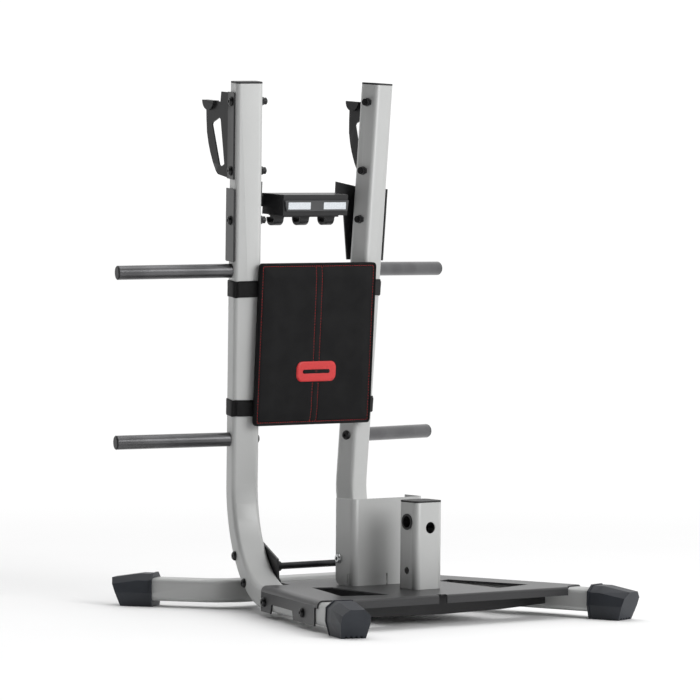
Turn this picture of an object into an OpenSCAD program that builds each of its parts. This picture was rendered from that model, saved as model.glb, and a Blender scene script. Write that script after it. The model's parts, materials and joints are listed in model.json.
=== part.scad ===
// Floor-standing storage rack for gym attachments and plates.
// Two bent tube frames splay apart at the front, a swept stabiliser closes the back, and a sheet tray
// ties the legs together. Front is -Y, +Z is up, the floor is z = 0 and the origin is under the middle.

/* [Frame tube] */
// tube width, along the bolts
tube_w = 50; // [40:1:60]
// tube depth, in the plane of the bend
tube_d = 40; // [30:1:50]
// tube corner radius
tube_r = 8; // [4:0.5:12]
// tube wall
tube_wall = 2; // [1.5:0.5:4]
// bend radius at the middle of the tube
bend_r = 180; // [120:5:240]
// half the distance between the two frames where leg and upright axes cross
frame_x = 117; // [90:1:150]
// how far each leg turns outwards
splay = 18; // [0:1:30]
// forward lean of the uprights
lean = 3.3; // [0:0.1:10]
// sideways lean of the uprights
side_lean = 0.9; // [0:0.1:4]
// height of the leg axis
leg_z = 32; // [25:1:50]
// length of the upright above the crossing of the axes
upright_len = 901; // [600:1:1100]
// length of the leg in front of the crossing of the axes
leg_len = 556; // [400:1:700]

/* [Stabiliser] */
// length of the straight middle
stab_flat = 246; // [150:1:350]
// sweep of the ends
stab_sweep = 53; // [20:1:70]
// length of each swept end, from the corner of the axes to the end of the tube
stab_end = 151; // [100:1:250]
// bend radius
stab_r = 80; // [50:5:150]
// height of the stabiliser axis
stab_z = 31; // [25:1:50]

/* [Pegs] */
// height of the upper pegs along the upright
peg_upper = 569; // [300:1:800]
// height of the lower pegs along the upright
peg_lower = 268.5; // [230:0.5:400]
// peg diameter
peg_dia = 25; // [18:1:50]
// peg length with its cap
peg_len = 212; // [100:1:300]

/* [Brackets] */
// height of the upper hook bolt along the upright
hook_top = 869; // [600:1:900]
// height of the lower hook bolt along the upright
hook_low = 746; // [500:1:860]
// height of the middle bracket bolt along the upright
mid_bolt = 658.5; // [400:0.5:800]
// sheet thickness of the black brackets
sheet = 3; // [2:0.5:5]

/* [Base tray] */
// y of the rear edge of the tray
tray_back = -115; // [-200:1:-80]
// y of the front edge of the tray
tray_front = -458; // [-520:1:-300]
// tray sheet thickness
tray_t = 2.5; // [1.5:0.5:4]
// depth of the front lip
lip_h = 15; // [8:1:30]

/* [Receiver] */
// width of the receiver post
post_w = 60; // [40:1:80]
// depth of the receiver post
post_d = 50; // [40:1:80]
// top of the receiver post
post_top = 206; // [150:1:300]
// width of the U-shaped bracket behind the post
cradle_w = 156; // [120:1:200]
// top of the U-shaped bracket
cradle_top = 207; // [150:1:300]

/* [Pad] */
// width of the pad
pad_w = 258; // [200:1:300]
// height of the pad
pad_h = 289; // [200:1:400]
// thickness of the pad
pad_t = 14; // [8:1:40]
// height of the middle of the pad along the upright
pad_mid = 438; // [300:1:600]

/* [Show] */
// piece to draw

/* [Hidden] */
$fn = 64;
silver = [0.66, 0.67, 0.66];
black = [0.07, 0.07, 0.08];
gunmetal = [0.16, 0.17, 0.18];
plastic = [0.10, 0.11, 0.13];
vinyl = [0.09, 0.09, 0.09];

y_shift = 186.0;                     // brings the middle of the footprint to the origin
frame_y = 25;                        // where the frame axes cross
tangent = bend_r * cos(lean) / (1 - sin(lean));
hole_gap = 0.2;                      // radial room of a bolt in its hole
bolt_r = 4;
nut_r = 7.5;
head_r = 8.5;
upright_tilt = atan(tan(lean) * cos(splay)); // lean of the uprights seen straight from the side
strap_t = 2.2;
strap_h = 30;
strap_at = [325.5, 537];             // lower and upper straps, along the upright
stab_y = 12;                         // y of the stabiliser axis
stab_tan = stab_r * tan(stab_sweep / 2);
stab_x = stab_flat / 2 + stab_tan;   // corner of the stabiliser's axis
socket_len = 22;                     // how far a foot goes over its tube
foot_front_len = 592;                // from the crossing of the axes to the foot's front edge
foot_rear_len = 187;
cap_len = 60;
tray_top = leg_z + tube_d / 2 + 0.4 + tray_t;
rear_lip = 32;
wrap_from = 192;                     // stretch of leg that the tray wraps over
wrap_to = 485;
tab_back = [185, 240];               // outer tabs of the tray, along the leg
tab_front = [365, 471];
tray_bolts = [210, 410];
cradle_front = -250;
cradle_d = 50;
cradle_bolt_z = 46;                  // above the tray
cradle_bolt_inset = 9;               // from the open back of the cradle
rail_y = -401;                       // rear face of the rail under the tray
post_y = -340;
post_r = 10;
bush_z = 172;
bush_r = 12.5;
pin_hole_z = 87;                     // small cross hole of the post
pin_hole_r = 6;
front_hole_z = 162;
front_hole_r = 10;
gusset_t = 4;
rod_at = [-105, 48];                 // tie rod in the plane of the bend
bend_bolts = [for (a = [-38.5, -59]) [-tangent + (bend_r + 8) * cos(a), bend_r + (bend_r + 8) * sin(a)]];
mid_y = 19.5;                        // front of the middle bracket's back plate, at mid_z
mid_z = 689;
shelf_d = 50;
shelf_top = 48;                      // above mid_z
hook_angle = 15.5;
rest_r = 17.5;                       // half-round rest at the end of a hook arm

// ---- placing ----
module mirrored(side) {
    if (side < 0) mirror([1, 0, 0]) children();
    else children();
}

// leg frame: x outwards, y backwards, z up, origin where the axes cross
module on_leg(side) {
    mirrored(side)
        translate([frame_x, frame_y + y_shift, leg_z])
            rotate([0, 0, splay]) rotate([0, side_lean, 0]) children();
}

// as on_leg, but z runs along the upright
module on_upright(side) {
    on_leg(side) rotate([lean, 0, 0]) children();
}

// same direction as a leg, level, with z = 0 on the floor
module under_leg(side) {
    mirrored(side) translate([frame_x, frame_y + y_shift, 0]) rotate([0, 0, splay]) children();
}

module under_stabiliser_end(side) {
    mirrored(side) translate([stab_x, stab_y + y_shift, 0]) rotate([0, 0, 90 + stab_sweep]) children();
}

// level frame on the middle plane that leans with the uprights; y = 0 at y_at on height z_at
module on_middle(y_at, z_at) {
    translate([0, y_at + y_shift, z_at]) rotate([upright_tilt, 0, 0]) children();
}

// ---- shared shapes ----
module rounded(w, d, r) {
    square([w - 2 * r, d], center = true);
    square([w, d - 2 * r], center = true);
    for (x = [-1, 1], y = [-1, 1])
        translate([x * (w / 2 - r), y * (d / 2 - r)]) circle(r);
}

module tube_profile() {
    difference() {
        rounded(tube_w, tube_d, tube_r);
        rounded(tube_w - 2 * tube_wall, tube_d - 2 * tube_wall, tube_r - tube_wall);
    }
}

module along_x(r, from, to) {
    translate([from, 0, 0]) rotate([0, 90, 0]) cylinder(r = r, h = to - from);
}

// plate whose outline lies in y and z, from x = at outwards
module side_plate(at, t) {
    translate([at, 0, 0]) rotate([90, 0, 90]) linear_extrude(t) children();
}

// domed head with a round drive recess, under side at z = 0
module button_head() {
    rotate_extrude() polygon([
        [0, 0], [head_r, 0], [head_r, 1.6], [head_r - 1, 3.6], [head_r - 3, 5.2], [3, 5.2], [3, 2.6], [0, 2.6]
    ]);
}

// button head outside at head_x, shank along x, lock nut inside at nut_x
module through_bolt(head_x, nut_x) {
    translate([head_x, 0, 0]) rotate([0, 90, 0]) button_head();
    along_x(bolt_r, nut_x - 13, head_x + 1);
    translate([nut_x - 6.5, 0, 0]) rotate([0, 90, 0]) cylinder(r = nut_r, h = 6.5, $fn = 6);
    along_x(nut_r - 1.2, nut_x - 11.5, nut_x - 6);
}

// ---- frames ----
module frame(side) {
    color(silver) difference() {
        on_leg(side) {
            translate([0, -tangent, 0]) rotate([90, 0, 0]) linear_extrude(leg_len - tangent) tube_profile();
            translate([0, -tangent, bend_r]) rotate([90, 0, 90]) rotate([0, 0, -90])
                rotate_extrude(angle = 90 + lean) translate([bend_r, 0]) rotate(90) tube_profile();
            rotate([lean, 0, 0]) translate([0, 0, tangent]) linear_extrude(upright_len - tangent) tube_profile();
        }
        on_upright(side) for (s = [hook_top, hook_low, mid_bolt, peg_upper, peg_lower])
            translate([0, 0, s]) along_x(bolt_r + hole_gap, -tube_w, tube_w);
        on_leg(side) {
            for (b = bend_bolts) translate([0, b[0], b[1]]) along_x(bolt_r + hole_gap, -tube_w, tube_w);
            for (t = tray_bolts) translate([0, -t, -4]) along_x(bolt_r + hole_gap, -tube_w, tube_w);
        }
    }
}

module top_cap(side) {
    color(black) on_upright(side) translate([0, 0, upright_len]) {
        linear_extrude(3) rounded(tube_w, tube_d, tube_r);
        translate([0, 0, -14]) linear_extrude(14)
            rounded(tube_w - 2 * tube_wall - 0.2, tube_d - 2 * tube_wall - 0.2, tube_r - tube_wall);
    }
}

module stabiliser() {
    color(silver) translate([0, stab_y + y_shift, stab_z]) {
        rotate([90, 0, 90]) linear_extrude(stab_flat, center = true) tube_profile();
        for (side = [-1, 1]) mirrored(side) translate([stab_flat / 2, stab_r, 0]) {
            rotate([0, 0, -90]) rotate_extrude(angle = stab_sweep) translate([stab_r, 0]) tube_profile();
            rotate([0, 0, stab_sweep]) translate([0, -stab_r, 0]) rotate([90, 0, 90])
                linear_extrude(stab_end - stab_tan) tube_profile();
        }
    }
}

// moulded foot over a tube end; front_len is where its lower front edge is, the child is its socket
module foot(front_len) {
    back = front_len - cap_len;
    color(plastic) difference() {
        union() {
            hull() {
                translate([0, -back, 0]) rotate([90, 0, 0]) linear_extrude(socket_len + 3)
                    polygon(foot_outline(29, 22, 58.5, 25));
                translate([0, -front_len + 1, 0.5]) rotate([110, 0, 0]) linear_extrude(1)
                    polygon(foot_outline(26.5, 22, 53, 26));
            }
            translate([0, -back, 0]) rotate([90, 0, 0]) linear_extrude(4)
                polygon(foot_outline(30.5, 23, 60, 25));
        }
        children();
        for (i = [-1.5:1:1.5])
            translate([i * 9 - 2, -front_len - 9, -1]) cube([4, 14, 5]);
    }
}

// base: half width on the floor, w: half width at height mid, h: height of the flat top
function foot_outline(w, base, h, mid) = [
    [-base, 0], [base, 0], [w, mid], [w - 1, h - 11.5], [w / 2, h], [-w / 2, h], [1 - w, h - 11.5], [-w, mid]
];

module socket(front_len) {
    translate([0, cap_len - front_len + 1, 0]) rotate([90, 0, 0]) linear_extrude(socket_len + 1.5)
        rounded(tube_w + 0.3, tube_d + 0.3, tube_r);
}

module foot_front(side) {
    under_leg(side) foot(foot_front_len)
        translate([0, 0, leg_z]) rotate([0, side_lean, 0]) socket(foot_front_len);
}

module foot_rear(side) {
    under_stabiliser_end(side) foot(foot_rear_len)
        translate([0, 0, stab_z]) socket(foot_rear_len);
}

// ---- ties at the bend ----
module gusset(side) {
    color(black) difference() {
        on_leg(side) side_plate(-tube_w / 2 - gusset_t, gusset_t)
            polygon([[-20, 92], [-36, 88], [-126, 62], [-128, 20], [-110, 0], [-80, -8], [-20, -8]]);
        translate([-200, stab_y - tube_w / 2 + y_shift, 0]) cube([400, 100, stab_z + tube_d / 2 + 1]);
        on_leg(side) for (b = bend_bolts)
            translate([0, b[0], b[1]]) along_x(bolt_r + hole_gap, -tube_w, 0);
    }
}

function leg_point(x, y) = [
    frame_x + x * cos(splay) - y * sin(splay),
    frame_y + y_shift + x * sin(splay) + y * cos(splay)
];

module tie_rod() {
    rod = leg_point(-tube_w / 2 - gusset_t, rod_at[0]);
    color(gunmetal) intersection() {
        translate([0, rod[1], leg_z + rod_at[1]]) {
            along_x(6, -150, 150);
            for (side = [-1, 1]) mirrored(side) along_x(9, rod[0] - 8, 150);
        }
        between_legs(-tube_w / 2 - gusset_t - 0.3);
    }
}

// wedge of space between the two legs, out to x on each leg frame
module between_legs(x) {
    linear_extrude(200) polygon([
        leg_point(x, 40), leg_point(x, -700),
        [-leg_point(x, -700)[0], leg_point(x, -700)[1]], [-leg_point(x, 40)[0], leg_point(x, 40)[1]]
    ]);
}

// ---- base ----
module base_tray() {
    z0 = tray_top - tray_t;
    color(black) difference() {
        union() {
            // plate between the legs
            difference() {
                translate([0, 0, z0]) linear_extrude(tray_t) difference() {
                    plate_outline();
                    for (side = [-1, 1]) mirrored(side) translate([0, y_shift]) window_outline();
                }
                translate([-52, tray_front + y_shift - 1, z0 - 1]) cube([10, 12, 5]);
                translate([-42.01, tray_front + y_shift - 1, z0 - 1]) cube([8, 9, 5]);
            }
            // front lip in two lengths, with a relief between them
            for (run = [[-238, -52], [-34, 238]])
                translate([run[0], tray_front + y_shift, tray_top]) rotate([90, 0, 90])
                    linear_extrude(run[1] - run[0]) lip_profile();
            // rear lip
            intersection() {
                translate([-200, tray_back + y_shift, z0 - rear_lip]) cube([400, tray_t, rear_lip + 1]);
                between_legs(-tube_w / 2 - 0.8);
            }
            for (side = [-1, 1]) under_leg(side) leg_wrap();
        }
        for (side = [-1, 1]) on_leg(side) for (t = tray_bolts)
            translate([0, -t, -4]) along_x(bolt_r + hole_gap, 0, tube_w);
    }
}

module plate_outline() {
    inner = -tube_w / 2 - 0.5;
    back = (tray_back - frame_y - inner * sin(splay)) / cos(splay);
    half = [
        leg_point(inner, back), leg_point(inner, -wrap_from), leg_point(-20, -wrap_from),
        leg_point(-20, -wrap_to), [243, tray_front + y_shift + 4]
    ];
    polygon(concat(half, [for (i = [4:-1:0]) [-half[i][0], half[i][1]]]));
}

module window_outline() {
    polygon([[118, -244], [152, -229], [208, -384], [122, -409]]);
}

// lip bent down over a 4 mm radius
module lip_profile() {
    translate([0, -lip_h]) square([tray_t, lip_h - 4]);
    translate([4, -4]) intersection() {
        difference() {
            circle(4);
            circle(4 - tray_t);
        }
        translate([-4, 0]) square(4);
    }
}

// sheet over the top and down the outside of a leg, a little clear of the tube
module leg_wrap() {
    corner = tube_w / 2 - tube_r + 0.3;
    top = tray_top - tray_t;
    difference() {
        translate([0, -wrap_from, 0]) rotate([90, 0, 0]) linear_extrude(wrap_to - wrap_from) {
            translate([-22, top]) square([corner + 22, tray_t]);
            translate([corner, top - tube_r]) intersection() {
                difference() {
                    circle(tube_r + tray_t);
                    circle(tube_r);
                }
                square(2 * tube_r);
            }
            translate([corner + tube_r, 10]) square([tray_t, top - tube_r - 10]);
        }
        // between the tabs, and in front of the front one
        side_plate(tube_w / 2 - 1, 10) polygon([
            [-tab_back[1], 2], [-tab_back[1] - 8, 26], [-tab_front[0] + 8, 26], [-tab_front[0], 2]
        ]);
        side_plate(tube_w / 2 - 1, 10) polygon([[-tab_front[1], 2], [-tab_front[1], 41], [-600, 41], [-600, 2]]);
    }
}

module front_rail() {
    color(black) intersection() {
        translate([0, rail_y + y_shift, 0]) rotate([90, 0, 0]) linear_extrude(4)
            polygon([[-250, 23], [-130, 17], [0, 15], [130, 17], [250, 23], [250, 51.8], [-250, 51.8]]);
        between_legs(-tube_w / 2 - 0.2);
    }
}

// ---- receiver ----
module cradle() {
    h = cradle_top - tray_top;
    inner = cradle_w / 2 - sheet;
    color(silver) translate([0, cradle_front + y_shift, tray_top]) difference() {
        union() {
            linear_extrude(h) difference() {
                union() {
                    translate([0, cradle_d / 2]) rounded(cradle_w, cradle_d, 11);
                    translate([-cradle_w / 2, cradle_d / 2]) square([cradle_w, cradle_d / 2]);
                }
                translate([0, cradle_d / 2]) rounded(2 * inner, cradle_d - 2 * sheet, 8);
                translate([-inner, cradle_d / 2]) square([2 * inner, cradle_d]);
            }
            translate([-60, 1, 0]) cube([120, 30, sheet]);
        }
        // rounded lower back corners
        for (side = [-1, 1]) mirrored(side) translate([cradle_w / 2 - 10, cradle_d, 0]) rotate([0, 90, 0])
            difference() {
                translate([-14, -14, 0]) cube([28, 28, 20]);
                translate([-14, -14, -1]) cylinder(r = 14, h = 22);
            }
        // bend reliefs
        translate([-4, -1, -1]) cube([3, 6, 21]);
        for (side = [-1, 1]) mirrored(side) translate([cradle_w / 2 - 6, 13, -1]) cube([8, 3, 21]);
        for (side = [-1, 1]) mirrored(side) translate([0, cradle_d - cradle_bolt_inset, cradle_bolt_z])
            along_x(bolt_r + hole_gap, 50, 90);
    }
}

module cradle_bolts() {
    color(black) for (side = [-1, 1]) mirrored(side)
        translate([cradle_w / 2, cradle_front + cradle_d - cradle_bolt_inset + y_shift, tray_top + cradle_bolt_z])
        rotate([0, 90, 0]) {
            button_head();
            translate([0, 0, -14]) cylinder(r = bolt_r, h = 15);
            translate([0, 0, -sheet - 6.5]) cylinder(r = nut_r, h = 6.5, $fn = 6);
        }
}

module post() {
    wall = 2.5;
    color(silver) translate([0, post_y + y_shift, 0]) difference() {
        translate([0, 0, tray_top]) linear_extrude(post_top - tray_top) difference() {
            rounded(post_w, post_d, post_r);
            rounded(post_w - 2 * wall, post_d - 2 * wall, post_r - wall);
        }
        translate([0, 0, bush_z]) along_x(bush_r + hole_gap, -post_w, post_w);
        translate([0, 0, pin_hole_z]) along_x(pin_hole_r, -post_w, post_w);
        translate([2, 0, front_hole_z]) rotate([90, 0, 0]) cylinder(r = front_hole_r, h = post_d);
    }
}

// bush through both sides of the post, with a flange at each end
module post_bush() {
    half = post_w / 2;
    color(black) translate([0, post_y + y_shift, bush_z]) rotate([0, 90, 0]) rotate_extrude() polygon([
        [bush_r - 2.5, -half - 1.5], [bush_r + 1.5, -half - 1.5], [bush_r + 1.5, -half], [bush_r, -half],
        [bush_r, half], [bush_r + 1.5, half], [bush_r + 1.5, half + 1.5], [bush_r - 2.5, half + 1.5]
    ]);
}

module post_cap() {
    color(black) translate([0, post_y + y_shift, post_top]) {
        linear_extrude(3) rounded(post_w, post_d, post_r);
        translate([0, 0, -12]) linear_extrude(12) rounded(post_w - 5.2, post_d - 5.2, post_r - 2.6);
    }
}

// ---- pegs ----
module peg(side, s) {
    color(gunmetal) on_upright(side) translate([0, 0, s]) difference() {
        along_x(peg_dia / 2, tube_w / 2, tube_w / 2 + peg_len - 3);
        along_x(peg_dia / 2 - 2.5, tube_w / 2 + 24, tube_w / 2 + peg_len);
        along_x(bolt_r + hole_gap, tube_w / 2 - 1, tube_w / 2 + 26);
    }
}

module peg_cap(side, s) {
    r = peg_dia / 2;
    color(black) on_upright(side) translate([tube_w / 2 + peg_len - 3, 0, s]) rotate([0, 90, 0])
        rotate_extrude() polygon([[0, -14], [r - 2.7, -14], [r - 2.7, 0], [r, 0], [r, 1.6], [r - 1.5, 3], [0, 3]]);
}

module peg_bolts(side) {
    color(black) on_upright(side) for (s = [peg_lower, peg_upper]) translate([-tube_w / 2, 0, s]) {
        rotate([0, -90, 0]) button_head();
        along_x(bolt_r, -1, tube_w + 20);
    }
}

// ---- hooks ----
module hook(side) {
    color(black) on_upright(side) difference() {
        union() {
            side_plate(tube_w / 2, sheet) translate([-13, hook_low - 14.5])
                square([34, hook_top - hook_low + 30.5]);
            translate([tube_w / 2 + 0.1, 20, hook_top]) rotate([0, 0, -hook_angle]) {
                side_plate(0, sheet) difference() {
                    hook_outline();
                    hook_window();
                }
                // half-round rest, thicker than the arm on both sides
                side_plate(-5, sheet + 10) difference() {
                    translate([57.5, -2]) circle(rest_r);
                    translate([30, -2]) square([60, 30]);
                }
            }
        }
        for (s = [hook_low, hook_top]) translate([0, 0, s]) along_x(bolt_r + hole_gap, 0, tube_w);
    }
}

module hook_outline() {
    polygon([
        [0, 15], [22, 15], [24, -3], [36, -3], [41.5, -3], [73.5, -3], [69, -16], [68, -36], [66, -59],
        [61, -78], [55, -94], [46, -112], [36, -127], [30, -132], [0, -136]
    ]);
}

module hook_window() {
    polygon([[50, -45], [48, -41], [27, -31], [23, -34], [10, -113], [20, -118], [26, -115]]);
}

// ---- middle bracket ----
module mid_bracket() {
    color(black) difference() {
        union() {
            // back plate with a wing behind each upright
            on_middle(mid_y, mid_z) translate([0, sheet, 0]) rotate([90, 0, 0]) linear_extrude(sheet)
                back_plate_outline();
            // flange on the outer face of each upright
            for (side = [-1, 1]) on_upright(side)
                side_plate(tube_w / 2, sheet) polygon([
                    [-19, mid_bolt - 73], [-19, mid_bolt + 56], [24, mid_bolt + 56], [24, mid_bolt - 73]
                ]);
            // shelf that comes forward between the uprights
            on_middle(mid_y, mid_z) {
                translate([0, 0, shelf_top - sheet]) linear_extrude(sheet) shelf_outline(0);
                translate([0, 0, 11]) linear_extrude(shelf_top - 11) difference() {
                    shelf_outline(0);
                    translate([0, 0.01]) shelf_outline(sheet);
                }
                finger_row();
            }
        }
        for (side = [-1, 1]) on_upright(side) translate([0, 0, mid_bolt])
            along_x(bolt_r + hole_gap, 0, tube_w);
    }
}

module back_plate_outline() {
    polygon([
        [-158.5, 54], [-83, 68], [-83, 42], [-81, 42], [-81, 48], [81, 48], [81, 42], [83, 42], [83, 68],
        [158.5, 54], [154, -73], [115, -73], [104, 6], [92, 24], [-92, 24], [-104, 6], [-115, -73], [-154, -73]
    ]);
}

module shelf_outline(inset) {
    polygon([
        [-80.6 + inset, 0.5], [80.6 - inset, 0.5], [72 - inset, -shelf_d + inset], [-72 + inset, -shelf_d + inset]
    ]);
}

// three hanging fingers, each curled backwards
module finger_row() {
    curl_y = -7;
    translate([0, curl_y - 12.5 + sheet, 0]) rotate([90, 0, 0]) linear_extrude(sheet)
        translate([-76, 6]) square([152, shelf_top - 8]);
    translate([0, curl_y - 12.5 + sheet, 0]) rotate([90, 0, 0]) linear_extrude(sheet)
        for (x = [-57, 0, 57]) translate([x, 0])
            polygon([
                [-10, 3.5], [10, 3.5], [11, 6], [15, 8.5], [22, 10], [22, 12],
                [-22, 12], [-22, 10], [-15, 8.5], [-11, 6]
            ]);
    for (x = [-57, 0, 57]) translate([x - 10, curl_y, 3]) rotate([90, 0, 90]) linear_extrude(20) {
        difference() {
            circle(12.5);
            circle(12.5 - sheet);
            translate([-20, 0]) square([40, 20]);
        }
        translate([-12.5, 0]) square([sheet, 8]);
        translate([12.5 - sheet, 0]) square([sheet, 2]);
    }
}

module trim_plate() {
    color([0.3, 0.31, 0.32]) on_middle(mid_y, mid_z) translate([0, -shelf_d, 28]) rotate([90, 0, 0])
        difference() {
            linear_extrude(4) polygon([[-71, 10], [71, 10], [69, -9], [-66, -9]]);
            for (x = [-39, 40]) translate([x - 25, -6, 2.8]) cube([50, 13, 3]);
        }
}

module trim_insets() {
    color([0.85, 0.86, 0.88]) on_middle(mid_y, mid_z) translate([0, -shelf_d, 28]) rotate([90, 0, 0])
        for (x = [-39, 40]) translate([x - 24.8, -5.8, 2.8]) cube([49.6, 12.6, 1.6]);
}

// ---- pad and straps ----
module pad() {
    z = leg_z + pad_mid * cos(lean);
    y = frame_y - (z - leg_z) * tan(upright_tilt) - 27.6;
    color(vinyl) on_middle(y, z) rotate([90, 0, 0]) linear_extrude(pad_t) rounded(pad_w, pad_h, 7);
}

module strap(side, s) {
    color(black) on_upright(side) translate([0, 0, s - strap_h / 2]) linear_extrude(strap_h) difference() {
        rounded(tube_w + 2 * strap_t, tube_d + 2 * strap_t, tube_r + strap_t);
        rounded(tube_w, tube_d, tube_r);
    }
}

// ---- fasteners ----
module hook_bolts(side) {
    color(black) on_upright(side) for (s = [hook_low, hook_top])
        translate([0, 0, s]) through_bolt(tube_w / 2 + sheet, -tube_w / 2);
}

module mid_bolt_set(side) {
    color(black) on_upright(side) translate([0, 0, mid_bolt]) through_bolt(tube_w / 2 + sheet, -tube_w / 2);
}

module bend_bolt_set(side) {
    color(black) on_leg(side) for (b = bend_bolts)
        translate([0, b[0], b[1]]) through_bolt(tube_w / 2, -tube_w / 2 - gusset_t);
}

module tray_bolt_set(side) {
    color(black) on_leg(side) for (t = tray_bolts)
        translate([0, -t, -4]) through_bolt(tube_w / 2 + tray_t + 0.6, -tube_w / 2);
}

frame(-1);  // upright_left
frame(1);  // upright_right
top_cap(-1);  // top_cap_left
top_cap(1);  // top_cap_right
stabiliser();
foot_front(-1);  // foot_front_left
foot_front(1);  // foot_front_right
foot_rear(-1);  // foot_rear_left
foot_rear(1);  // foot_rear_right
gusset(-1);  // gusset_left
gusset(1);  // gusset_right
tie_rod();
base_tray();
front_rail();
cradle();
post();
post_cap();
post_bush();
peg(-1, peg_upper);  // peg_upper_left
peg(1, peg_upper);  // peg_upper_right
peg(-1, peg_lower);  // peg_lower_left
peg(1, peg_lower);  // peg_lower_right
peg_cap(-1, peg_upper);  // peg_cap_upper_left
peg_cap(1, peg_upper);  // peg_cap_upper_right
peg_cap(-1, peg_lower);  // peg_cap_lower_left
peg_cap(1, peg_lower);  // peg_cap_lower_right
hook(-1);  // hook_left
hook(1);  // hook_right
mid_bracket();
trim_plate();
trim_insets();
pad();
strap(-1, strap_at[1]);  // strap_upper_left
strap(1, strap_at[1]);  // strap_upper_right
strap(-1, strap_at[0]);  // strap_lower_left
strap(1, strap_at[0]);  // strap_lower_right
hook_bolts(-1);  // hook_bolts_left
hook_bolts(1);  // hook_bolts_right
mid_bolt_set(-1);  // mid_bolt_left
mid_bolt_set(1);  // mid_bolt_right
peg_bolts(-1);  // peg_bolts_left
peg_bolts(1);  // peg_bolts_right
bend_bolt_set(-1);  // bend_bolts_left
bend_bolt_set(1);  // bend_bolts_right
tray_bolt_set(-1);  // tray_bolts_left
tray_bolt_set(1);  // tray_bolts_right
cradle_bolts();
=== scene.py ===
"""Looks for the floor-standing gym storage rack: materials, pad, straps, stitching, light and camera."""
import json
import math

import bpy
from mathutils import Matrix, Vector


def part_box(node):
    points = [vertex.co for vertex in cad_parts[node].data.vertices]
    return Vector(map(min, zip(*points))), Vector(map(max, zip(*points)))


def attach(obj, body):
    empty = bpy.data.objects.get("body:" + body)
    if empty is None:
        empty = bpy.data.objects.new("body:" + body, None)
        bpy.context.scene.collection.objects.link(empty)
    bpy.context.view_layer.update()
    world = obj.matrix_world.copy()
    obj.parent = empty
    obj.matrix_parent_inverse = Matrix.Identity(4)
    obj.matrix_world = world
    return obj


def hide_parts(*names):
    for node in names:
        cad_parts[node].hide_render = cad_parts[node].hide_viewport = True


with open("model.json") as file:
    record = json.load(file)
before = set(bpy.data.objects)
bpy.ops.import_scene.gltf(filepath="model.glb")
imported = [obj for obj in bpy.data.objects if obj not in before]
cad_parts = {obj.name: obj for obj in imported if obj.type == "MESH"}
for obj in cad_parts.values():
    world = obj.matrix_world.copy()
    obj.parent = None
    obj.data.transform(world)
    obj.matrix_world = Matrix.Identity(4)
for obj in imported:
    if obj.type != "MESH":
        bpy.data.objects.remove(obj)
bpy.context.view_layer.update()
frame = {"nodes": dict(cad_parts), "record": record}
nodes = frame["nodes"]

# ---- the rack's own directions and places, as in the CAD model ----
Y_SHIFT = 0.1860  # brings the middle of the footprint to the origin
SPLAY = math.radians(18)  # how far each leg turns outwards
LEAN = math.radians(3.3)  # forward lean of the uprights
SIDE_LEAN = math.radians(0.9)  # sideways lean of the uprights
CROSSING = Vector((0.117, 0.025 + Y_SHIFT, 0.032))  # where the right leg's and upright's axes cross
TUBE_W, TUBE_D, TUBE_R = 0.050, 0.040, 0.008  # tube width, depth and corner radius

# ---- camera ----
TARGET = Vector((-0.1520, -0.3477 + Y_SHIFT, 0.4751))
AZIMUTH, PITCH, ROLL = math.radians(-37.96), math.radians(2.58), math.radians(0.52)
DISTANCE = 8.987
back = Vector((math.sin(AZIMUTH) * math.cos(PITCH), -math.cos(AZIMUTH) * math.cos(PITCH), math.sin(PITCH)))
right = Vector((math.cos(AZIMUTH), math.sin(AZIMUTH), 0.0))
turn = Matrix.Rotation(ROLL, 3, back)
right = turn @ right
up = back.cross(right)
camera_data = bpy.data.cameras.new("camera")
camera_data.lens = 269.0
camera_data.sensor_width = 36.0
camera_data.shift_x = -6.1 / 700
camera_data.shift_y = -0.9 / 700
camera_data.clip_end = 60.0
camera = bpy.data.objects.new("camera", camera_data)
bpy.context.scene.collection.objects.link(camera)
basis = Matrix((right, up, back)).transposed().to_4x4()
camera.matrix_world = Matrix.Translation(TARGET + back * DISTANCE) @ basis
bpy.context.scene.camera = camera


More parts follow.
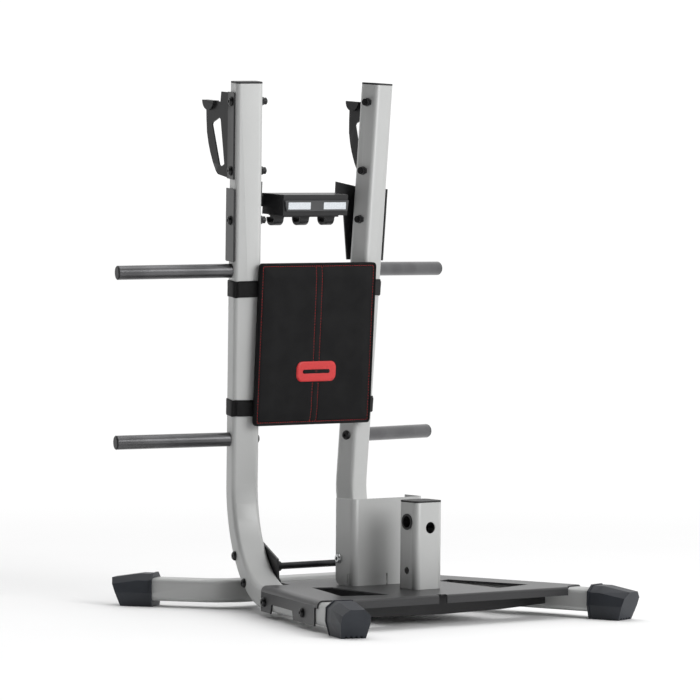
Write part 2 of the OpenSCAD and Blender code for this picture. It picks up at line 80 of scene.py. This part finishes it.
# ---- materials ----
class Shader:
    """A small helper for building node materials."""

    def __init__(self, name, **inputs):
        self.material = bpy.data.materials.new(name)
        self.material.use_nodes = True
        self.tree = self.material.node_tree
        self.principled = self.tree.nodes["Principled BSDF"]
        self.coordinates = self.node("ShaderNodeTexCoord").outputs["Object"]
        for key, value in inputs.items():
            self.principled.inputs[key.replace("_", " ")].default_value = value

    def node(self, kind, **inputs):
        made = self.tree.nodes.new(kind)
        for key, value in inputs.items():
            made.inputs[key.replace("_", " ")].default_value = value
        return made

    def link(self, a, b):
        self.tree.links.new(a, b)

    def noise(self, scale, detail=3.0, stretch=None):
        made = self.node("ShaderNodeTexNoise", Scale=scale, Detail=detail)
        source = self.coordinates
        if stretch:
            mapping = self.node("ShaderNodeMapping", Scale=stretch)
            self.link(source, mapping.inputs["Vector"])
            source = mapping.outputs["Vector"]
        self.link(source, made.inputs["Vector"])
        return made.outputs["Fac"]

    def ramp(self, value, stops):
        made = self.node("ShaderNodeValToRGB")
        while len(made.color_ramp.elements) < len(stops):
            made.color_ramp.elements.new(0.5)
        for element, (at, colour) in zip(made.color_ramp.elements, stops):
            element.position = at
            element.color = colour if len(colour) == 4 else (*colour, 1)
        self.link(value, made.inputs["Fac"])
        return made.outputs["Color"]

    def colour(self, value, dark, light, low=0.35, high=0.65):
        self.link(self.ramp(value, [(low, dark), (high, light)]), self.principled.inputs["Base Color"])
        return self

    def roughness(self, value, low, high):
        made = self.node("ShaderNodeMapRange")
        made.inputs["To Min"].default_value = low
        made.inputs["To Max"].default_value = high
        self.link(value, made.inputs["Value"])
        self.link(made.outputs["Result"], self.principled.inputs["Roughness"])
        return self

    def bump(self, value, distance, strength=0.5):
        made = self.node("ShaderNodeBump", Strength=strength, Distance=distance)
        self.link(value, made.inputs["Height"])
        if self.principled.inputs["Normal"].is_linked:
            self.link(self.principled.inputs["Normal"].links[0].from_socket, made.inputs["Normal"])
        self.link(made.outputs["Normal"], self.principled.inputs["Normal"])
        return self

    def painted_edge_highlights(self, base, highlight_colour, amount=0.5):
        """Paints a highlight on the sharp edges: a lighter tone that stands in for light caught by the
        edges.
        """
        geometry = self.node("ShaderNodeNewGeometry")
        highlight_share = (amount, amount, amount)
        edge = self.ramp(geometry.outputs["Pointiness"], [(0.52, (0, 0, 0)), (0.60, highlight_share)])
        mix = self.node("ShaderNodeMix")
        mix.data_type = "RGBA"
        self.link(edge, mix.inputs["Factor"])
        self.link(base, mix.inputs["A"])
        mix.inputs["B"].default_value = (*highlight_colour, 1)
        self.link(mix.outputs["Result"], self.principled.inputs["Base Color"])
        return self


def silver_paint():
    m = Shader("silver_paint", Metallic=0.25, Coat_Weight=0.06, Coat_Roughness=0.35)
    patches = m.noise(6.0, 4.0)
    flakes = m.noise(2600.0, 1.0)
    base = m.ramp(patches, [(0.3, (0.435, 0.44, 0.435)), (0.7, (0.47, 0.475, 0.47))])
    # painted highlight: a lighter tone along the sharp edges
    m.painted_edge_highlights(base, (0.60, 0.605, 0.60), 0.3)
    m.roughness(flakes, 0.46, 0.58)
    return m.bump(m.noise(420.0, 2.0), 0.00006, 0.35).bump(flakes, 0.00002, 0.25).material


def black_paint():
    m = Shader("black_paint", Roughness=0.36, Specular_IOR_Level=0.32)
    grain = m.noise(900.0, 2.0)
    base = m.ramp(m.noise(9.0, 4.0), [(0.3, (0.009, 0.009, 0.010)), (0.7, (0.014, 0.014, 0.015))])
    # painted highlight: a lighter tone along the sharp edges
    m.painted_edge_highlights(base, (0.055, 0.055, 0.057), 0.5)
    m.roughness(grain, 0.30, 0.42)
    return m.bump(grain, 0.00007, 0.4).material


def moulded(name, dark, light, low, high, grain=1100.0):
    m = Shader(name, Specular_IOR_Level=0.4)
    speckle = m.noise(grain, 2.0)
    m.colour(m.noise(14.0, 3.0), dark, light)
    m.roughness(speckle, low, high)
    return m.bump(speckle, 0.0001, 0.4).material


def steel(name, dark, light, low, high, stretch):
    m = Shader(name, Metallic=0.85)
    lines = m.noise(300.0, 3.0, stretch)
    m.colour(m.noise(20.0, 3.0), dark, light)
    m.roughness(lines, low, high)
    return m.bump(lines, 0.00002, 0.3).material


def vinyl():
    m = Shader("pad_vinyl", Specular_IOR_Level=0.09)
    cells = m.node("ShaderNodeTexVoronoi", Scale=520.0)
    m.link(m.coordinates, cells.inputs["Vector"])
    creases = m.noise(26.0, 4.0)
    m.colour(creases, (0.0065, 0.0065, 0.007), (0.010, 0.010, 0.0105))
    m.roughness(creases, 0.46, 0.6)
    return m.bump(cells.outputs["Distance"], 0.00022, 0.55).bump(creases, 0.0009, 0.35).material


def webbing(name, dark, light):
    """Woven tape: fine bands up and down, crossed by bands round it."""
    m = Shader(name, Roughness=0.72, Specular_IOR_Level=0.22, Sheen_Weight=0.06, Sheen_Roughness=0.5)
    bands = []
    for direction, scale in (("Z", 170.0), ("X", 150.0)):
        wave = m.node("ShaderNodeTexWave", Scale=scale, Distortion=0.3)
        wave.bands_direction = direction
        m.link(m.coordinates, wave.inputs["Vector"])
        bands.append(wave.outputs["Fac"])
    product = m.node("ShaderNodeMath")
    product.operation = "MULTIPLY"
    m.link(bands[0], product.inputs[0])
    m.link(bands[1], product.inputs[1])
    m.colour(product.outputs["Value"], dark, light, 0.1, 0.8)
    return m.bump(product.outputs["Value"], 0.0005, 0.7).material


def plain(name, dark, light, low, high, metallic=0.0, grain=700.0):
    m = Shader(name, Metallic=metallic)
    speckle = m.noise(grain, 2.0)
    m.colour(speckle, dark, light)
    m.roughness(speckle, low, high)
    return m.bump(speckle, 0.00005, 0.3).material


DRAWN = (0.06, 1.0, 1.0)  # stretches a steel's fine lines along x, the way the bar was drawn
MATERIALS = {
    "silver_paint": silver_paint(),
    "black_paint": black_paint(),
    "foot_plastic": moulded("foot_plastic", (0.016, 0.019, 0.025), (0.024, 0.028, 0.036), 0.42, 0.56),
    "cap_plastic": moulded("cap_plastic", (0.008, 0.008, 0.009), (0.015, 0.015, 0.016), 0.45, 0.6),
    "peg_steel": steel("peg_steel", (0.095, 0.095, 0.098), (0.125, 0.125, 0.129), 0.27, 0.32, DRAWN),
    "rod_steel": steel("rod_steel", (0.03, 0.03, 0.032), (0.05, 0.05, 0.052), 0.25, 0.4, DRAWN),
    "fastener_steel": plain("fastener_steel", (0.016, 0.016, 0.017), (0.035, 0.035, 0.036), 0.25, 0.4, 0.7),
    "bright_steel": plain("bright_steel", (0.50, 0.51, 0.51), (0.60, 0.61, 0.61), 0.22, 0.34, 0.8),
    "pad_vinyl": vinyl(),
    "strap_webbing": webbing("strap_webbing", (0.004, 0.004, 0.004), (0.014, 0.014, 0.015)),
    "trim_plastic": moulded("trim_plastic", (0.045, 0.046, 0.048), (0.065, 0.066, 0.068), 0.3, 0.42),
    "inset_metal": plain("inset_metal", (0.58, 0.61, 0.64), (0.70, 0.73, 0.76), 0.3, 0.42, 0.3),
}
RED_THREAD = plain("red_thread", (0.55, 0.010, 0.012), (0.75, 0.020, 0.022), 0.55, 0.7, 0.0, 1500.0)
RED_PRINT = plain("red_print", (0.50, 0.016, 0.018), (0.62, 0.025, 0.026), 0.4, 0.52)

# ---- materials and softened edges of the CAD nodes ----
SHEET_EDGE, MOULDED_EDGE = 0.0005, 0.0016
EDGE_WIDTHS = {
    "silver_paint": SHEET_EDGE,
    "black_paint": SHEET_EDGE,
    "trim_plastic": SHEET_EDGE,
    "inset_metal": SHEET_EDGE,
    "foot_plastic": MOULDED_EDGE,
}


def soften_edges(cad, width):
    weld = cad.modifiers.new("weld", "WELD")
    weld.merge_threshold = 0.00002
    bevel = cad.modifiers.new("bevel", "BEVEL")
    bevel.width = width
    bevel.segments = 2
    bevel.limit_method = "ANGLE"
    bevel.angle_limit = math.radians(30)


for row in frame["record"]["subparts"]:
    cad = nodes[row["node"]]
    finish = row["material_slot"]
    cad.data.materials.clear()
    cad.data.materials.append(MATERIALS[finish])
    if finish in EDGE_WIDTHS:
        soften_edges(cad, EDGE_WIDTHS[finish])


def piece(name, vertices, faces, material, smooth=True):
    """Makes a mesh in the rack's frame that rides on the rack."""
    mesh = bpy.data.meshes.new(name)
    mesh.from_pydata(vertices, [], faces)
    mesh.materials.append(material)
    mesh.validate()
    mesh.update()
    for polygon in mesh.polygons:
        polygon.use_smooth = smooth
    obj = bpy.data.objects.new(name, mesh)
    bpy.context.scene.collection.objects.link(obj)
    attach(obj, "root")
    return obj


# ---- pad ----
TILT = math.atan(math.tan(LEAN) * math.cos(SPLAY))  # lean of the uprights seen straight from the side
low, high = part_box("pad")
PAD_W, PAD_H = 0.258, 0.289
pad_centre = (low + high) / 2
to_pad = Matrix.Translation(pad_centre) @ Matrix.Rotation(TILT, 4, "X")  # x right, z up, -y is the front
SEAM = 0.0065  # from the middle to each of the two upright seams
BORDER = 0.0055  # from the pad's edge to its border seam
GROOVE = 0.0016  # half width of a sewn groove


def smooth_step(t):
    t = min(max(t, 0.0), 1.0)
    return t * t * (3 - 2 * t)


def pad_front(x, z):
    """How far the front stands in front of the pad's middle plane."""
    edge = min(PAD_W / 2 - abs(x), PAD_H / 2 - abs(z))
    crown = 0.0032 + 0.0032 * smooth_step(edge / 0.030)
    groove = 0.0013 * math.exp(-(((edge - BORDER) / GROOVE) ** 2))
    groove += 0.0011 * math.exp(-(((abs(x) - SEAM) / GROOVE) ** 2))
    ripple = 0.00035 * math.sin(x * 41 + math.sin(z * 23) * 1.3) * math.sin(z * 31 + x * 9)
    return crown - groove + ripple * smooth_step(edge / 0.02)


def rounded_rectangle(w, h, r, steps=8):
    points = []
    for cx, cz, start in ((w / 2 - r, h / 2 - r, 0), (r - w / 2, h / 2 - r, 90),
                          (r - w / 2, r - h / 2, 180), (w / 2 - r, r - h / 2, 270)):
        for i in range(steps + 1):
            a = math.radians(start + 90 * i / steps)
            points.append((cx + r * math.cos(a), cz + r * math.sin(a)))
    return points


def spread(low_end, high_end, count, extra):
    values = [low_end + (high_end - low_end) * i / count for i in range(count + 1)]
    values += [e for e in extra if low_end < e < high_end]
    return sorted(set(round(v, 6) for v in values))


def corner_pull(x, z, r=0.007):
    """Draws a grid point near a corner onto the rounded outline."""
    dx, dz = abs(x) - (PAD_W / 2 - r), abs(z) - (PAD_H / 2 - r)
    if dx <= 0 or dz <= 0:
        return x, z
    reach = max(dx, dz)
    length = math.hypot(dx, dz)
    sx, sz = math.copysign(1, x), math.copysign(1, z)
    return sx * (PAD_W / 2 - r + dx / length * reach), sz * (PAD_H / 2 - r + dz / length * reach)


def make_pad():
    """The pad as a closed form: a front grid, a flatter back grid and the rim that joins them."""
    seam_lines = [s * (SEAM + d) for s in (-1, 1) for d in (-0.003, -0.0015, 0, 0.0015, 0.003)]
    rims = [0.0012, 0.0028, 0.0042, 0.0055, 0.0068, 0.0085, 0.011, 0.016, 0.023]
    xs = spread(-PAD_W / 2, PAD_W / 2, 52, seam_lines + [s * (PAD_W / 2 - r) for s in (-1, 1) for r in rims])
    zs = spread(-PAD_H / 2, PAD_H / 2, 58, [s * (PAD_H / 2 - r) for s in (-1, 1) for r in rims])
    vertices, faces = [], []
    columns, rows = len(xs), len(zs)
    for front in (True, False):
        for z in zs:
            for x in xs:
                px, pz = corner_pull(x, z)
                y = -pad_front(px, pz) if front else 0.0045 + 0.0015 * smooth_step(
                    min(PAD_W / 2 - abs(px), PAD_H / 2 - abs(pz)) / 0.02)
                vertices.append(to_pad @ Vector((px, y, pz)))
    for side in (0, 1):
        base = side * columns * rows
        for j in range(rows - 1):
            for i in range(columns - 1):
                a = base + j * columns + i
                quad = (a, a + 1, a + columns + 1, a + columns)
                faces.append(quad if side == 0 else quad[::-1])
    rim = [i for i in range(columns)] + [j * columns + columns - 1 for j in range(1, rows)]
    rim += [(rows - 1) * columns + i for i in range(columns - 2, -1, -1)]
    rim += [j * columns for j in range(rows - 2, 0, -1)]
    behind = columns * rows
    for k, a in enumerate(rim):
        b = rim[(k + 1) % len(rim)]
        faces.append((b, a, a + behind, b + behind))
    pad = piece("pad_cover", vertices, faces, MATERIALS["pad_vinyl"])
    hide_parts("pad")
    return pad


def edge_binding():
    """A bound edge: a soft bead that runs round the pad."""
    outline = rounded_rectangle(PAD_W - 0.0034, PAD_H - 0.0034, 0.006)
    vertices, faces = [], []
    sides = 10
    for k, (x, z) in enumerate(outline):
        ax, az = outline[k - 1]
        bx, bz = outline[(k + 1) % len(outline)]
        along = Vector((bx - ax, 0, bz - az)).normalized()
        outward = Vector((along.z, 0, -along.x))
        for i in range(sides):
            a = 2 * math.pi * i / sides
            offset = outward * (0.0016 * math.cos(a)) + Vector((0, 1, 0)) * (0.0062 * math.sin(a) + 0.0008)
            vertices.append(to_pad @ (Vector((x, 0, z)) + offset))
    count = len(outline)
    for k in range(count):
        for i in range(sides):
            a, b = k * sides + i, k * sides + (i + 1) % sides
            c, d = (k + 1) % count * sides + (i + 1) % sides, (k + 1) % count * sides + i
            faces.append((a, b, c, d))
    return piece("pad_binding", vertices, faces, MATERIALS["pad_vinyl"])


def stitch(vertices, faces, a, b, height, width=0.0007):
    """One stitch from a to b on the pad's front: a low, tapered lozenge."""
    direction = (b - a).normalized()
    across = Vector((direction.z, 0, -direction.x))
    start = len(vertices)
    for t, w, h in ((0, 0.35, -0.0001), (0.25, 1, height), (0.75, 1, height), (1, 0.35, -0.0001)):
        point = a.lerp(b, t)
        for s, k in ((-1, 0.0), (0, 1.0), (1, 0.0)):
            lift = -pad_front(point.x, point.z) - (h * k if h > 0 else h) + (0.0004 if s else 0)
            vertices.append(to_pad @ (point + across * (s * w * width) + Vector((0, lift, 0))))
    for row in range(3):
        for col in range(2):
            p = start + row * 3 + col
            faces.append((p, p + 1, p + 4, p + 3))


def stitching():
    """Red thread along the border and both upright seams, as one mesh of separate stitches."""
    vertices, faces = [], []
    step, length = 0.0050, 0.0031
    w, h = PAD_W / 2 - BORDER, PAD_H / 2 - BORDER
    runs = [((-w, -h), (w, -h)), ((w, -h), (w, h)), ((w, h), (-w, h)), ((-w, h), (-w, -h))]
    runs += [((s * SEAM, -h), (s * SEAM, h)) for s in (-1, 1)]
    for (x0, z0), (x1, z1) in runs:
        a, b = Vector((x0, 0, z0)), Vector((x1, 0, z1))
        total = (b - a).length
        count = int(total / step)
        for i in range(count):
            s = (i + 0.14) * total / count
            p = a.lerp(b, s / total)
            q = a.lerp(b, (s + length) / total)
            stitch(vertices, faces, p, q, 0.0006)
    return piece("pad_stitching", vertices, faces, RED_THREAD)


def patch(name, outline, centre, lift, thickness, material):
    """A flat printed patch that follows the pad's front."""
    vertices, faces = [], []
    rings = 7
    for ring in range(rings + 1):
        share = 1 - ring / rings
        for x, z in outline:
            px, pz = centre[0] + x * share, centre[1] + z * share
            vertices.append(to_pad @ Vector((px, -pad_front(px, pz) - lift - thickness, pz)))
    count = len(outline)
    for ring in range(rings):
        for k in range(count):
            a, b = ring * count + k, ring * count + (k + 1) % count
            faces.append((a, a + count, b + count, b))
    skirt = len(vertices)
    for x, z in outline:
        px, pz = centre[0] + x, centre[1] + z
        vertices.append(to_pad @ Vector((px, -pad_front(px, pz) + 0.0004, pz)))
    for k in range(count):
        faces.append((skirt + k, k, (k + 1) % count, skirt + (k + 1) % count))
    return piece(name, vertices, faces, material)


make_pad()
edge_binding()
stitching()
MARK = (0.0, -0.049)
patch("pad_mark", rounded_rectangle(0.088, 0.036, 0.012), MARK, 0.0001, 0.0004, RED_PRINT)
patch("pad_mark_bar", rounded_rectangle(0.060, 0.007, 0.003), MARK, 0.0006, 0.0003, MATERIALS["pad_vinyl"])


# ---- straps ----
STRAP_LEVELS = (("lower", 0.3255), ("upper", 0.537))  # along the upright
STRAP_H, TAIL_H = 0.029, 0.025
STRAP_T, TAIL_T = 0.0018, 0.0015
TAIL_SPAN = (0.55, 0.8)  # the share of the way round that a strap's loose end covers


def upright_matrix(side):
    """Frame of an upright: z runs up along it, x points outwards."""
    local = Matrix.Rotation(SPLAY, 4, "Z") @ Matrix.Rotation(SIDE_LEAN, 4, "Y")
    local = Matrix.Translation(CROSSING) @ local @ Matrix.Rotation(LEAN, 4, "X")
    return local if side > 0 else Matrix.Scale(-1, 4, Vector((1, 0, 0))) @ local


def band(name, side, s, height, gap, thickness, arc=(0.0, 1.0), cad=None):
    """Webbing wrapped round an upright, with rolled edges and a little slack."""
    path = rounded_rectangle(TUBE_W, TUBE_D, TUBE_R, 6)
    closed = arc == (0.0, 1.0)
    count = len(path)
    chosen = range(count) if closed else range(int(arc[0] * count), int(arc[1] * count) + 1)
    place = upright_matrix(side)
    section = [(gap, -0.5), (gap + thickness * 0.8, -0.5), (gap + thickness, -0.42), (gap + thickness, -0.2),
               (gap + thickness * 0.93, 0.0), (gap + thickness, 0.2), (gap + thickness, 0.42),
               (gap + thickness * 0.8, 0.5), (gap, 0.5)]
    vertices, faces = [], []
    for k in chosen:
        x, y = path[k % count]
        ax, ay = path[k % count - 1]
        bx, by = path[(k + 1) % count]
        outward = Vector((by - ay, ax - bx, 0)).normalized()
        wave = 0.0006 * math.sin(k * 0.9 + s * 40)
        for out, up_share in section:
            point = Vector((x, y, s + up_share * height + wave)) + outward * out
            vertices.append(place @ point)
    rings, width = len(list(chosen)), len(section)
    for k in range(rings if closed else rings - 1):
        for i in range(width):
            a, b = k * width + i, k * width + (i + 1) % width
            c, d = (k + 1) % rings * width + (i + 1) % width, (k + 1) % rings * width + i
            faces.append((a, b, c, d) if side > 0 else (d, c, b, a))
    if not closed:
        first = tuple(range(width))
        last = tuple(range((rings - 1) * width, rings * width))
        faces += [first[::-1], last] if side > 0 else [first, last[::-1]]
    made = piece(name, vertices, faces, MATERIALS["strap_webbing"])
    if cad:
        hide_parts(cad)
    return made


for side, side_name in ((-1, "left"), (1, "right")):
    for level, s in STRAP_LEVELS:
        name = f"{level}_{side_name}"
        band(f"webbing_{name}", side, s, STRAP_H, 0.0002, STRAP_T, cad=f"strap_{name}")
        band(f"webbing_tail_{name}", side, s - 0.001, TAIL_H, 0.0021, TAIL_T, TAIL_SPAN)

# ---- floor, backdrop and light ----
FLOOR_REACH = 30.0
FADE_FROM, FADE_TO = 0.7, 3.0  # distances from the origin between which the floor turns white


def make_floor():
    """A pale floor that turns into the same white as the backdrop further out."""
    mesh = bpy.data.meshes.new("floor")
    r = FLOOR_REACH
    mesh.from_pydata([(-r, -r, 0), (r, -r, 0), (r, r, 0), (-r, r, 0)], [], [(0, 1, 2, 3)])
    floor = bpy.data.objects.new("floor", mesh)
    bpy.context.scene.collection.objects.link(floor)
    m = Shader("floor", Roughness=0.8)
    m.colour(m.noise(3.0), (0.93, 0.93, 0.93), (0.94, 0.94, 0.94))
    reach = m.node("ShaderNodeVectorMath")
    reach.operation = "LENGTH"
    m.link(m.coordinates, reach.inputs[0])
    fade = m.node("ShaderNodeMapRange", From_Min=FADE_FROM, From_Max=FADE_TO)
    fade.interpolation_type = "SMOOTHSTEP"
    m.link(reach.outputs["Value"], fade.inputs["Value"])
    glow = m.node("ShaderNodeEmission", Strength=1.02)
    mix = m.node("ShaderNodeMixShader")
    m.link(fade.outputs["Result"], mix.inputs[0])
    m.link(m.principled.outputs["BSDF"], mix.inputs[1])
    m.link(glow.outputs["Emission"], mix.inputs[2])
    m.link(mix.outputs["Shader"], m.tree.nodes["Material Output"].inputs["Surface"])
    mesh.materials.append(m.material)


def make_backdrop():
    """White all round, with a dark flag on the left that shades the faces turned that way."""
    world = bpy.data.worlds.new("studio")
    bpy.context.scene.world = world
    world.use_nodes = True
    made = world.node_tree.nodes
    join = world.node_tree.links.new
    background = made["Background"]
    background.inputs["Strength"].default_value = 1.08
    direction = made.new("ShaderNodeTexCoord")
    towards = made.new("ShaderNodeVectorMath")
    towards.operation = "DOT_PRODUCT"
    towards.inputs[1].default_value = (-0.90, -0.42, 0.0)
    shade = made.new("ShaderNodeValToRGB")
    shade.color_ramp.interpolation = "EASE"
    lit, flagged = shade.color_ramp.elements
    lit.position = 0.0
    lit.color = (1, 1, 1, 1)
    flagged.position = 0.62
    flagged.color = (0.01, 0.01, 0.012, 1)
    join(direction.outputs["Generated"], towards.inputs[0])
    join(towards.outputs["Value"], shade.inputs["Fac"])
    join(shade.outputs["Color"], background.inputs["Color"])


def area_light(name, position, aim, size, power):
    data = bpy.data.lights.new(name, "AREA")
    data.shape = "RECTANGLE"
    data.size, data.size_y = size
    data.energy = power
    light = bpy.data.objects.new(name, data)
    bpy.context.scene.collection.objects.link(light)
    light.location = position
    light.rotation_euler = (Vector(aim) - Vector(position)).to_track_quat("-Z", "Y").to_euler()


make_floor()
make_backdrop()
area_light("key", (1.0, -4.0, 2.3), (0, 0, 0.4), (2.2, 2.4), 100)
area_light("top", (0.2, 0.3, 3.6), (0, 0, 0), (2.4, 2.4), 25)

bpy.context.scene.view_settings.view_transform = "Standard"

# ---- last update of the scene ----
bpy.context.view_layer.update()
